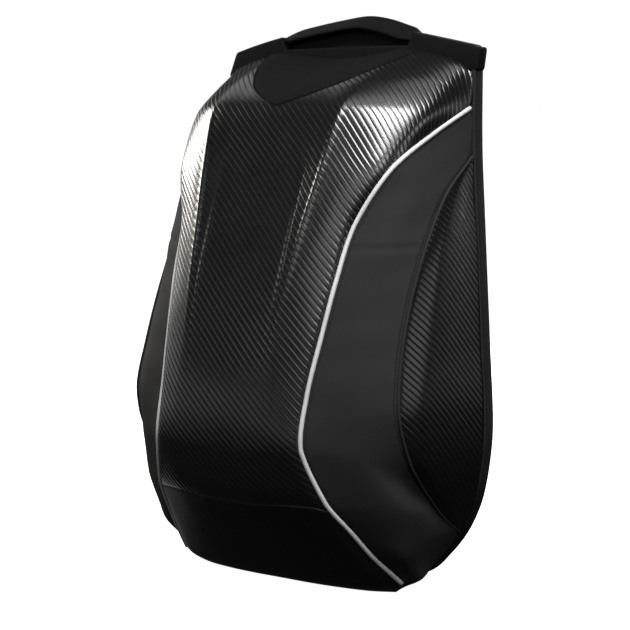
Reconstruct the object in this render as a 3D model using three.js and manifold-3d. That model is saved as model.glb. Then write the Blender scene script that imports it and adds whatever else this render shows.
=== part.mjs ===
// Hard-shell motorcycle backpack, in millimetres, +Z up, front towards -Y.
// The tables give one side (+X) of the bag; the other side is its mirror image.
// In the tables Y = 0 is the plane of the back and Z = 0 is the floor that the bag stands on.
import * as THREE from "three";
import { mergeVertices } from "three/addons/utils/BufferGeometryUtils.js";
import Module from "manifold-3d";

const wasm = await Module();
wasm.setup();

// Wall thicknesses and gaps
const SHELL_WALL = 3;
const FABRIC_WALL = 2;
const PATCH_WALL = 1.5;
const GAP = 0.3;

// Piping cord and the seams that hold it
const PIPING_RADIUS = 2;
const PIPING_SIDES = 6;
const PIPING_SINK = 0.5;
const PIPING_CLEARANCE = 0.7;
const PIPING_TRIM = PIPING_RADIUS + PIPING_CLEARANCE;
const SEAM_TRIM = 0.2;
// A trimmed row keeps at least this share of its length.
const LEAST_ROW_SHARE = 0.2;
// A slanted cut counts as no flatter than this sine.
const LEAST_SLANT = 0.4;

// Bound edge round the back, and the padded back itself
const BINDING_DEPTH = 12;
const BINDING_WIDTH = 4;
const TOP_STRIP_HEIGHT = 18;
const BACK_INSET = 1.5;
const PAD_THICKNESS = 10;
const PAD_INSET = 16;
const PAD_TOP = 440;
const PAD_ROUND = 4;

// Carry handle: a band arched over the middle of the top edge, its rear edge tilted up
const HANDLE_WIDTH = 26;
const HANDLE_THICKNESS = 3;
const HANDLE_TILT = 25;
const HANDLE_STEPS = 16;

// Shoulder straps with their lower webbing
const STRAP_WIDTH = 62;
const STRAP_THICKNESS = 9;
const WEBBING_WIDTH = 25;
const WEBBING_THICKNESS = 2;
const STRIP_CHAMFER_SHARE = 0.3;
const BUCKLE = { width: 36, height: 30, thickness: 5, bar: 5, slot: 4 };

// The origin lies on the floor in the middle of the flat base, this far in front of the back.
const BASE_CENTRE = 54;

const FRONT_OF_BINDING = -BINDING_DEPTH - GAP;
const BACK_SPACE = 1200;

// Levels of the bag, from the back of the base round the front to the back of the top.
// mid = centre line, foot = inner foot of the ridge, ridge, shoulder, pipe = seam with the piping,
// side = widest line of the side panel, seam = its back seam, crest = top of the padded rear side panel,
// edge = back edge of that panel, [x, y, z] each.
// steps = strips from this level to the next one.
const LEVELS = [
  { at: "base back", steps: 1, mid: [0, -12.4, 0], foot: [30, -12.4, 0], ridge: [55, -12.4, 0],
    shoulder: [80, -12.4, 0], pipe: [92, -12.4, 0] },
  { at: "base front", steps: 2, mid: [0, -104, 0], foot: [34, -104, 0], ridge: [62, -102, 0],
    shoulder: [98, -95, 0], pipe: [118, -84, 0],
    side: [106.4, -52, 0], seam: [92, -12.4, 0] },
  { at: "toe", steps: 3, mid: [0, -112, 4], foot: [34, -112, 4], ridge: [64, -111, 4.5],
    shoulder: [112, -103, 7], pipe: [131, -92, 11],
    side: [134, -72, 10], seam: [102, -12.4, 6] },
  { at: "shin", steps: 2, mid: [0, -143, 40], foot: [33, -143, 40], ridge: [64, -141, 40],
    shoulder: [103, -131, 39], pipe: [119, -118, 37],
    side: [145, -104, 36], seam: [123, -12.4, 27] },
  { at: "heel", steps: 3, mid: [0, -163, 64], foot: [33, -163, 64], ridge: [62, -161, 65],
    shoulder: [97, -150, 65], pipe: [110, -139, 62],
    side: [150, -110, 58], seam: [137, -14.5, 46], crest: [137.3, -13.5, 46],
    edge: [137.5, -12.4, 46] },
  { at: "knuckle", steps: 4, mid: [0, -181, 88], foot: [33, -180.5, 89], ridge: [59, -178, 92],
    shoulder: [89, -168, 91], pipe: [100, -159, 86],
    side: [153, -119, 84], seam: [148, -60, 71], crest: [151.2, -46, 72.2],
    edge: [152, -12.4, 75] },
  { at: "belly", steps: 4, mid: [0, -189, 134], foot: [35, -188.5, 134], ridge: [56, -187, 134],
    shoulder: [78, -182, 134], pipe: [86, -177, 134],
    side: [131, -150, 128], seam: [158, -115, 120], crest: [162.3, -103, 119.8],
    edge: [160.5, -12.4, 118] },
  { at: "waist", steps: 3, mid: [0, -186, 182], foot: [42, -184.5, 182], ridge: [55, -183, 182],
    shoulder: [79, -175, 182], pipe: [86, -169, 182],
    side: [125, -155, 174], seam: [156.5, -131, 165], crest: [164.5, -107.5, 164.6],
    edge: [161.5, -12.4, 163] },
  { at: "low chest", steps: 3, mid: [0, -176, 231], foot: [46, -174, 231], ridge: [54, -174, 231],
    shoulder: [84, -163, 231], pipe: [91, -156, 231],
    side: [123.5, -142.5, 223], seam: [152, -122, 215], crest: [161.6, -92.4, 214.5],
    edge: [158, -12.4, 213] },
  { at: "chest", steps: 3, mid: [0, -163, 279], foot: [48, -160, 279], ridge: [57.5, -163, 279],
    shoulder: [91, -149, 281], pipe: [96, -142, 279],
    side: [126, -127, 271], seam: [150, -106, 263], crest: [159, -80.7, 262.7],
    edge: [155.5, -12.4, 262] },
  { at: "high chest", steps: 4, mid: [0, -146, 327], foot: [48, -142, 327], ridge: [63, -148, 327],
    shoulder: [101, -133, 330], pipe: [102, -124, 327],
    side: [132, -107.5, 320], seam: [150, -83, 312], crest: [156.2, -67.5, 311.8],
    edge: [153, -12.4, 311] },
  { at: "collar", steps: 4, mid: [0, -127, 376], foot: [48, -123, 376], ridge: [70, -130, 378],
    shoulder: [120, -111, 381], pipe: [125, -101, 376],
    side: [139, -79, 364], seam: [149.5, -55, 353], crest: [152.5, -44.4, 353],
    edge: [149.5, -12.4, 353] },
  { at: "brow", steps: 3, mid: [0, -115, 426], foot: [45, -113, 427], ridge: [76, -110, 430],
    shoulder: [136, -70, 422], pipe: [138, -52, 409],
    side: [143.5, -33, 398], seam: [148.3, -14.5, 386], crest: [148.3, -13.5, 386.5],
    edge: [148.3, -12.4, 387] },
  { at: "top slope", steps: 2, mid: [0, -98, 443], foot: [45, -95, 445], ridge: [78, -84, 450.5],
    shoulder: [138, -36, 448], pipe: [147, -16, 429],
    side: [147.7, -14.2, 420], seam: [148.3, -12.4, 412] },
  { at: "top back", steps: 0, mid: [0, -12.4, 477], foot: [45, -12.4, 481], ridge: [77, -12.4, 485],
    shoulder: [134, -12.4, 470], pipe: [147.5, -12.4, 455] },
];

// Strips across the shell between neighbouring lines of LEVELS, from the centre outwards.
const SHELL_LINES = ["mid", "foot", "ridge", "shoulder", "pipe"];
const SHELL_SPLITS = [1, 2, 2, 2];
const SIDE_LINES = ["pipe", "side", "seam"];
const SIDE_SPLITS = [3, 3];
const REAR_LINES = ["seam", "crest", "edge"];
const REAR_SPLITS = [3, 3];
// Extra depth cleared behind the rear side panel where the side panel meets it at an angle
const REAR_ROOM = 2;

// Right side of the back outline from the bottom to the top, [x, z]
const OUTLINE = {
  bottom: 90,
  side: [[121, 25], [138, 46], [153, 77], [162, 125], [163, 150], [159, 220], [153, 324], [149, 400]],
  corner: [149, 484],
  cornerRadius: 6,
};

// Smooth patch on the top slope, seen from above: right side from its tip to the top edge, [x, y]
const PATCH = {
  tip: [0, -109.5],
  corner: [46, -88.5],
  side: [[68, -61], [77, -46], [84, -31], [87, -14.5]],
};
const PATCH_GAP = 0.5;
// Heights between which the patch is cut out of the shell's surface
const PATCH_FLOOR = 400;
const PATCH_ROOF = 500;

// Right half of the top strip's upper edge, over the horn that holds the handle to the middle, [x, z]
const STRIP_CROWN = [[92, 496], [78, 499], [78, 486.5], [40, 487], [0, 487]];

// Right half of the upper edge of the back panel, which arches up behind the handle, [x, z]
const PANEL_CROWN = [[92, 482.5], [76, 490], [60, 495.5], [30, 502], [0, 504.5]];

// Middle line of the carry handle, from its sewn end to its crown
const HANDLE = [
  { x: 77.1, y: -2, z: 495 },
  { x: 55, y: -2, z: 500.5 },
  { x: 30, y: -2, z: 506 },
  { x: 0, y: -2, z: 509 },
];

// Middle line of the padded strap, from its sewn root to the buckle
const STRAP = [
  { x: 55, y: 7.2, z: 474 },
  { x: 55.5, y: 9.5, z: 462 },
  { x: 57, y: 22, z: 440 },
  { x: 60, y: 35, z: 405 },
  { x: 67, y: 43, z: 345 },
  { x: 77, y: 44, z: 275 },
  { x: 88, y: 38, z: 205 },
  { x: 95, y: 31, z: 160 },
];
const STRAP_STEPS = 24;

// Lower end of the webbing, sewn to the back near the lower corner
const WEBBING_END = { x: 112, y: 14, z: 58 };
const WEBBING_LEAD = { x: -1, y: 0.6, z: 14 };
const WEBBING_STEPS = 10;
// The webbing starts this far below the top of the buckle and leaves it this far below its lower end.
const WEBBING_START = 6;
const WEBBING_LEAVE = 4;

const CURVE_SEGMENTS = 3;
const PAD_ROUND_SEGMENTS = 2;

// Colours and finishes
const FINISH = {
  weave: { color: 0x0c0c0d, roughness: 0.3, metalness: 0.05 },
  fabric: { color: 0x232426, roughness: 0.85, metalness: 0 },
  tape: { color: 0x1b1b1d, roughness: 0.8, metalness: 0 },
  piping: { color: 0xb4b5b6, roughness: 0.5, metalness: 0 },
  plastic: { color: 0x0f0f10, roughness: 0.45, metalness: 0 },
};

const vector = ([x, y, z]) => new THREE.Vector3(x, y, z);

// Points of a smooth curve through the given points, with splits[i] strips in span i
function smoothLine(points, splits) {
  const curve = new THREE.CatmullRomCurve3(points, false, "centripetal");
  const spans = points.length - 1;
  const line = [];
  for (let span = 0; span < spans; span++) {
    for (let step = 0; step < splits[span]; step++) {
      line.push(curve.getPoint((span + step / splits[span]) / spans));
    }
  }
  line.push(points[spans].clone());
  return line;
}

// The same line with a length cut off at its start and at its end
function trimmed(line, startCut, endCut) {
  const lengths = [0];
  for (let i = 1; i < line.length; i++) {
    lengths.push(lengths[i - 1] + line[i].distanceTo(line[i - 1]));
  }
  const total = lengths[line.length - 1];
  const span = Math.max(total - startCut - endCut, LEAST_ROW_SHARE * total);
  const start = Math.min(startCut, total - span);
  return line.map((_, i) => {
    const target = start + span * (lengths[i] / total);
    let k = 1;
    while (k < line.length - 1 && lengths[k] < target) k++;
    const part = (target - lengths[k - 1]) / (lengths[k] - lengths[k - 1]);
    return line[k - 1].clone().lerp(line[k], part);
  });
}

// Length to cut off a row so that it ends at the given distance from the seam line that it meets
function slantCut(distance, row, seam, i) {
  const along = new THREE.Vector3().subVectors(
    seam[Math.min(i + 1, seam.length - 1)], seam[Math.max(i - 1, 0)]);
  const across = new THREE.Vector3().subVectors(row[1], row[0]);
  return distance / Math.max(Math.sin(along.angleTo(across)), LEAST_SLANT);
}

// Closed body through rings of equal size; the ends are closed by ladders of triangles
function loft(rings) {
  const count = rings[0].length;
  const positions = rings.flat().flatMap((p) => [p.x, p.y, p.z]);
  const faces = [];
  for (let i = 0; i + 1 < rings.length; i++) {
    for (let j = 0; j < count; j++) {
      const a = i * count + j;
      const b = i * count + (j + 1) % count;
      faces.push([a, b, b + count], [a, b + count, a + count]);
    }
  }
  const last = (rings.length - 1) * count;
  for (let j = 0; j < count / 2 - 1; j++) {
    const k = count - 1 - j;
    faces.push([j, k, k - 1], [j, k - 1, j + 1]);
    faces.push([last + j, last + k - 1, last + k], [last + j, last + j + 1, last + k - 1]);
  }
  const geometry = new THREE.BufferGeometry();
  geometry.setAttribute("position", new THREE.Float32BufferAttribute(positions, 3));
  geometry.setIndex(faces.flat());
  return volume(geometry) > 0 ? geometry : turnedInsideOut(geometry);
}

// Signed volume of a closed indexed body, positive when its faces point out
function volume(geometry) {
  const position = geometry.getAttribute("position");
  const index = geometry.getIndex().array;
  const corner = (i) => new THREE.Vector3().fromBufferAttribute(position, index[i]);
  let total = 0;
  for (let i = 0; i < index.length; i += 3) {
    total += corner(i).dot(corner(i + 1).cross(corner(i + 2))) / 6;
  }
  return total;
}

function turnedInsideOut(geometry) {
  geometry.setIndex(Array.from(geometry.getIndex().array).reverse());
  return geometry;
}

// Copy of an indexed body on the other side of the bag
function mirrored(geometry) {
  const copy = geometry.clone().scale(-1, 1, 1);
  return turnedInsideOut(copy);
}

// Closed sheet whose outer face is a grid of points; the wall lies on the inner side
function sheet(grid, wall) {
  const rows = grid.length;
  const columns = grid[0].length;
  const rings = grid.map((row, i) => {
    const inner = row.map((point, j) => {
      const across = new THREE.Vector3().subVectors(
        row[Math.min(j + 1, columns - 1)], row[Math.max(j - 1, 0)]);
      const along = new THREE.Vector3().subVectors(
        grid[Math.min(i + 1, rows - 1)][j], grid[Math.max(i - 1, 0)][j]);
      return point.clone().addScaledVector(across.cross(along).normalize(), -wall);
    });
    return [...row, ...inner.reverse()];
  });
  return loft(rings);
}

// One line of LEVELS, smoothed over the strips between its levels; its points are kept by row number
function smoothedLine(name) {
  const first = LEVELS.findIndex((level) => level[name]);
  const levels = LEVELS.filter((level) => level[name]);
  const splits = levels.slice(0, -1).map((level) => level.steps);
  const points = smoothLine(levels.map((level) => vector(level[name])), splits);
  return [...Array(rowOf(first)), ...points];
}

function levelAt(name) {
  return LEVELS.findIndex((level) => level.at === name);
}

// Number of the row of points that lies on a level
function rowOf(levelIndex) {
  return LEVELS.slice(0, levelIndex).reduce((rows, level) => rows + level.steps, 0);
}

// The named lines over the rows that they all have
function smoothedLines(names) {
  const lines = names.map(smoothedLine);
  const shared = lines[0].map((_, row) => row).filter((row) => lines.every((line) => line[row]));
  return lines.map((line) => shared.map((row) => line[row]));
}

// Distance that a panel keeps from the seam: room for the piping, which starts at the toe
function seamRoom(row, baseTrim) {
  return row < rowOf(levelAt("toe")) ? baseTrim : PIPING_TRIM;
}

// Moulded shell: the centre, the ridges and the shoulders on both sides, from seam to seam
function shellGrid(baseTrim) {
  const lines = smoothedLines(SHELL_LINES);
  const pipe = lines[SHELL_LINES.length - 1];
  const splits = [...SHELL_SPLITS].reverse().concat(SHELL_SPLITS);
  return lines[0].map((_, i) => {
    const right = lines.map((line) => line[i]);
    const left = right.slice(1).map((p) => new THREE.Vector3(-p.x, p.y, p.z)).reverse();
    const row = smoothLine([...left, ...right], splits);
    const cut = slantCut(seamRoom(i, baseTrim), [...row].reverse(), pipe, i);
    return trimmed(row, cut, cut);
  });
}

// Smooth side panel from the piping over its widest line to the back seam
function sideGrid() {
  const lines = smoothedLines(SIDE_LINES);
  const firstRow = rowOf(levelAt("base front"));
  return lines[0].map((_, i) => {
    const row = smoothLine(lines.map((line) => line[i]), SIDE_SPLITS);
    const cut = slantCut(seamRoom(firstRow + i, SEAM_TRIM), row, lines[0], i);
    return trimmed(row, cut, SEAM_TRIM);
  });
}

// Rear side panel from the seam over its padded crest to the bound edge
function rearGrid(trim) {
  const lines = smoothedLines(REAR_LINES);
  return lines[0].map((_, i) => {
    const row = smoothLine(lines.map((line) => line[i]), REAR_SPLITS);
    return trimmed(row, slantCut(trim, row, lines[0], i), 0);
  });
}

// Regular polygon round a point, square to a direction
function circle(centre, direction, radius, sides) {
  const turn = new THREE.Quaternion().setFromUnitVectors(new THREE.Vector3(0, 0, 1), direction);
  return Array.from({ length: sides }, (_, i) => {
    const angle = (2 * Math.PI * (i + 0.5)) / sides;
    const spoke = new THREE.Vector3(Math.cos(angle), Math.sin(angle), 0).multiplyScalar(radius);
    return spoke.applyQuaternion(turn).add(centre);
  });
}

// Piping cord along the seam, from the toe to the back edge
function piping() {
  const first = rowOf(levelAt("toe"));
  const last = rowOf(levelAt("top slope"));
  const [line, shoulder, seam] = ["pipe", "shoulder", "seam"].map(smoothedLine);
  const rings = [];
  for (let row = first; row <= last; row++) {
    const along = new THREE.Vector3().subVectors(line[row + 1], line[row - 1]).normalize();
    const across = new THREE.Vector3().subVectors(seam[row], shoulder[row]);
    const inward = across.cross(along).normalize().negate();
    const centre = line[row].clone().addScaledVector(inward, PIPING_SINK);
    rings.push(circle(centre, along, PIPING_RADIUS, PIPING_SIDES));
  }
  return loft(rings);
}

// Flat strip along a smooth line with chamfered long edges; its width lies across the bag or as given
function ribbon(points, width, thickness, steps, widthAlong = new THREE.Vector3(1, 0, 0)) {
  const curve = new THREE.CatmullRomCurve3(points, false, "centripetal");
  const chamfer = STRIP_CHAMFER_SHARE * thickness;
  const section = [
    [-width / 2, -thickness / 2 + chamfer], [-width / 2 + chamfer, -thickness / 2],
    [width / 2 - chamfer, -thickness / 2], [width / 2, -thickness / 2 + chamfer],
    [width / 2, thickness / 2 - chamfer], [width / 2 - chamfer, thickness / 2],
    [-width / 2 + chamfer, thickness / 2], [-width / 2, thickness / 2 - chamfer],
  ];
  const rings = [];
  for (let i = 0; i <= steps; i++) {
    const along = curve.getTangentAt(i / steps);
    const face = new THREE.Vector3().crossVectors(widthAlong, along).normalize();
    const across = new THREE.Vector3().crossVectors(along, face);
    const centre = curve.getPointAt(i / steps);
    rings.push(section.map(([a, b]) =>
      centre.clone().addScaledVector(across, a).addScaledVector(face, b)));
  }
  return loft(rings);
}

// Back outline moved inwards by side and top insets; crown gives the right half of a shaped upper edge
function backOutline(inset, topInset = inset, crown = []) {
  const { bottom, side, corner, cornerRadius } = OUTLINE;
  const [cornerX, cornerZ] = corner;
  const top = cornerZ - topInset;
  const right = cornerX - inset;
  const narrowed = side.map(([x, z]) => {
    const lift = inset * Math.max(0, 1 - z / side[3][1]);
    return new THREE.Vector2(x - inset, z + lift);
  });
  const shape = new THREE.Shape();
  shape.moveTo(-bottom + inset, inset);
  shape.lineTo(bottom - inset, inset);
  shape.splineThru(narrowed);
  shape.lineTo(right, top - cornerRadius);
  shape.quadraticCurveTo(right, top, right - cornerRadius, top);
  crown.forEach(([x, z]) => shape.lineTo(x, z));
  [...crown].reverse().slice(1).forEach(([x, z]) => shape.lineTo(-x, z));
  shape.lineTo(-right + cornerRadius, top);
  shape.quadraticCurveTo(-right, top, -right, top - cornerRadius);
  const left = [...narrowed].reverse().map((p) => new THREE.Vector2(-p.x, p.y));
  shape.lineTo(left[0].x, left[0].y);
  shape.splineThru([...left.slice(1), new THREE.Vector2(-bottom + inset, inset)]);
  return shape;
}

// Upright plate of a shape drawn in X and Z, from y = front back to y = front + depth
function plate(shape, front, depth, options = {}) {
  const geometry = new THREE.ExtrudeGeometry(shape, {
    depth, bevelEnabled: false, curveSegments: CURVE_SEGMENTS, ...options });
  return geometry.rotateX(Math.PI / 2).translate(0, front + depth, 0);
}

function edgeBinding() {
  const ring = backOutline(0, 0, STRIP_CROWN);
  ring.holes.push(backOutline(BINDING_WIDTH, TOP_STRIP_HEIGHT));
  return plate(ring, -BINDING_DEPTH, BINDING_DEPTH);
}

function backPanel() {
  return plate(backOutline(BACK_INSET, BACK_INSET, PANEL_CROWN), GAP, FABRIC_WALL);
}

function backPad() {
  const front = 2 * GAP + FABRIC_WALL + PAD_ROUND;
  const topInset = OUTLINE.corner[1] - PAD_TOP;
  const flat = PAD_THICKNESS - 2 * PAD_ROUND;
  return plate(backOutline(PAD_INSET, topInset), front, flat, {
    bevelEnabled: true, bevelThickness: PAD_ROUND, bevelSize: PAD_ROUND, bevelOffset: -PAD_ROUND,
    bevelSegments: PAD_ROUND_SEGMENTS });
}

// Arched band between the two horns of the top strip
function carryHandle() {
  const right = HANDLE.map(({ x, y, z }) => new THREE.Vector3(x, y, z));
  const left = right.slice(0, -1).map((p) => new THREE.Vector3(-p.x, p.y, p.z));
  const tilt = THREE.MathUtils.degToRad(HANDLE_TILT);
  const backward = new THREE.Vector3(0, Math.cos(tilt), Math.sin(tilt));
  return ribbon([...left, ...right.reverse()], HANDLE_WIDTH, HANDLE_THICKNESS, HANDLE_STEPS, backward);
}

// Closed body as a solid that can be cut
function solid(geometry) {
  const bare = new THREE.BufferGeometry();
  bare.setAttribute("position", geometry.getAttribute("position"));
  bare.setIndex(geometry.getIndex());
  const merged = mergeVertices(bare);
  return new wasm.Manifold(new wasm.Mesh({
    numProp: 3,
    vertProperties: new Float32Array(merged.getAttribute("position").array),
    triVerts: new Uint32Array(merged.getIndex().array),
  }));
}

// Body of a cut solid
function body(cut) {
  const mesh = cut.getMesh();
  const geometry = new THREE.BufferGeometry();
  geometry.setAttribute("position", new THREE.BufferAttribute(mesh.vertProperties, 3));
  geometry.setIndex(new THREE.BufferAttribute(mesh.triVerts, 1));
  return geometry;
}

// Patch of fabric lying on the top slope: the shell's own surface, lifted and cut to the outline
function topPatch(shellGeometry) {
  const { tip, corner, side } = PATCH;
  const right = [corner, ...side].map(([x, y]) => new THREE.Vector2(x, y));
  const left = right.map((p) => new THREE.Vector2(-p.x, p.y)).reverse();
  const shape = new THREE.Shape([new THREE.Vector2(...tip), ...right, ...left]);
  const depth = PATCH_ROOF - PATCH_FLOOR;
  const prism = new THREE.ExtrudeGeometry(shape, { depth, bevelEnabled: false });
  prism.translate(0, 0, PATCH_FLOOR);
  const lifted = (rise) => solid(shellGeometry.clone().translate(0, 0, rise));
  const cover = lifted(PATCH_GAP + PATCH_WALL).intersect(solid(prism));
  return body(cover.subtract(lifted(PATCH_GAP)));
}

// Adjuster with two slots, hanging below the padded strap and leaning with it
function strapBuckle() {
  const { width, height, thickness, bar, slot } = BUCKLE;
  const shape = new THREE.Shape();
  shape.moveTo(-width / 2, -height).lineTo(width / 2, -height).lineTo(width / 2, 0).lineTo(-width / 2, 0);
  for (const top of [-bar, -height + bar + slot]) {
    const hole = new THREE.Path();
    hole.moveTo(-width / 2 + bar, top).lineTo(width / 2 - bar, top);
    hole.lineTo(width / 2 - bar, top - slot).lineTo(-width / 2 + bar, top - slot);
    shape.holes.push(hole);
  }
  return plate(shape, -thickness / 2, thickness);
}

const strapPoints = STRAP.map(({ x, y, z }) => new THREE.Vector3(x, y, z));
const strapEnd = strapPoints[strapPoints.length - 1];

// Directions at the lower end of the strap: down along it, out of the face away from the bag and across it
const strapDown = new THREE.CatmullRomCurve3(strapPoints, false, "centripetal").getTangentAt(1);
const strapRear = new THREE.Vector3(1, 0, 0).cross(strapDown).normalize();
const strapAcross = new THREE.Vector3().crossVectors(strapDown, strapRear);

// Webbing from the rear face of the buckle down to the lower corner of the pad
function webbingPoints() {
  const lift = BUCKLE.thickness / 2 + WEBBING_THICKNESS / 2 + GAP;
  const face = strapEnd.clone().addScaledVector(strapRear, lift);
  const onBuckle = (drop) => face.clone().addScaledVector(strapDown, drop);
  const end = new THREE.Vector3(WEBBING_END.x, WEBBING_END.y, WEBBING_END.z);
  const above = end.clone().add(WEBBING_LEAD);
  return [onBuckle(WEBBING_START), onBuckle(BUCKLE.height + WEBBING_LEAVE), above, end];
}

const bag = new THREE.Group();
bag.position.y = BASE_CENTRE;

function add(name, geometry, finish) {
  const mesh = new THREE.Mesh(geometry, new THREE.MeshStandardMaterial(FINISH[finish]));
  mesh.name = name;
  bag.add(mesh);
  return mesh;
}

function addPair(name, geometry, finish) {
  add(`${name}_right`, geometry, finish);
  add(`${name}_left`, mirrored(geometry), finish);
}

// The panels end just in front of the bound edge.
const backSpace = solid(new THREE.BoxGeometry(BACK_SPACE, BACK_SPACE, BACK_SPACE)
  .translate(0, FRONT_OF_BINDING + BACK_SPACE / 2, 0));
const panel = (grid, wall) => solid(sheet(grid, wall)).subtract(backSpace);

// The base is a flat panel of its own, parted from the shell just above the floor.
const shellSheet = sheet(shellGrid(SEAM_TRIM), SHELL_WALL);
const shellAndBase = solid(shellSheet).subtract(backSpace);
const [UP, DOWN] = [[0, 0, 1], [0, 0, -1]];
add("front_shell", body(shellAndBase.trimByPlane(UP, SHELL_WALL + GAP)), "weave");
add("base_panel", body(shellAndBase.trimByPlane(DOWN, -SHELL_WALL)), "fabric");
add("top_patch", topPatch(shellSheet), "fabric");
addPair("piping", piping(), "piping");

// The side panel leaves a gap for the base and for the rear side panel, which meet it at an angle.
const baseRoom = panel(shellGrid(-SEAM_TRIM), SHELL_WALL + GAP);
const rearRoom = panel(rearGrid(-SEAM_TRIM), FABRIC_WALL + REAR_ROOM);
const sidePanel = panel(sideGrid(), FABRIC_WALL).subtract(baseRoom).subtract(rearRoom);
addPair("side_panel", body(sidePanel), "fabric");
addPair("rear_side_panel", body(panel(rearGrid(SEAM_TRIM), FABRIC_WALL)), "weave");

add("edge_binding", edgeBinding(), "tape");
add("carry_handle", carryHandle(), "tape");
add("back_panel", backPanel(), "fabric");
add("back_pad", backPad(), "fabric");

addPair("shoulder_strap", ribbon(strapPoints, STRAP_WIDTH, STRAP_THICKNESS, STRAP_STEPS), "fabric");
addPair("strap_webbing",
  ribbon(webbingPoints(), WEBBING_WIDTH, WEBBING_THICKNESS, WEBBING_STEPS), "tape");

const buckleFrame = new THREE.Matrix4().makeBasis(
  strapAcross, strapRear, strapDown.clone().negate());
buckleFrame.setPosition(strapEnd.clone().addScaledVector(strapDown, GAP));
addPair("strap_buckle", body(solid(strapBuckle().applyMatrix4(buckleFrame))), "plastic");

export default bag;
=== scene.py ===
"""Looks of the hard-shell motorcycle backpack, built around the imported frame.

The tables are in millimetres in the bag's own frame: Y = 0 is the plane of the back, Z = 0 the floor.
They give the right side (+X); the left side is its mirror image unless it has numbers of its own.
"""
import math

import bpy
import numpy as np
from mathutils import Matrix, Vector
from mathutils.bvhtree import BVHTree


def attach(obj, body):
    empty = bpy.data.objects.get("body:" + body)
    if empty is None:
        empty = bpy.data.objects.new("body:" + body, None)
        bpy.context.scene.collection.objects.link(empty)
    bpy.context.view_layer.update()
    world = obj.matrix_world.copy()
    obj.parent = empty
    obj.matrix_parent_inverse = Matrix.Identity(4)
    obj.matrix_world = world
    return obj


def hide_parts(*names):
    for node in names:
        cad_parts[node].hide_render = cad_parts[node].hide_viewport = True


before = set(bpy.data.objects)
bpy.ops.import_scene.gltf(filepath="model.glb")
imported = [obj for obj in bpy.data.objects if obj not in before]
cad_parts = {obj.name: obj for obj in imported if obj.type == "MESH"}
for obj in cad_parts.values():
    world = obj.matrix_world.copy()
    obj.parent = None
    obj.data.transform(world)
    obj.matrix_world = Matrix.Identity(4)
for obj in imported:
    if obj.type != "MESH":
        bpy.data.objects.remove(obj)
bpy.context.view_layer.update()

MM = 0.001
# The origin of the row frame lies this far in front of the back.
BASE_CENTRE = 54.0
# The two sides of the bag and the sign of X there
HANDS = {"right": 1, "left": -1}
X_AXIS, Y_AXIS = (1.0, 0.0, 0.0), (0.0, 1.0, 0.0)

# Camera of the photograph: azimuth and elevation in degrees, the point at the centre of the image
CAMERA_AZIMUTH, CAMERA_ELEVATION = 40.0, 4.98
CAMERA_TARGET = (-46.7, 0.0, 232.6)
CAMERA_DISTANCE = 1935.0
FOCAL_PIXELS, IMAGE_PIXELS = 2008.0, 630.0
SENSOR_WIDTH = 36.0

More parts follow.
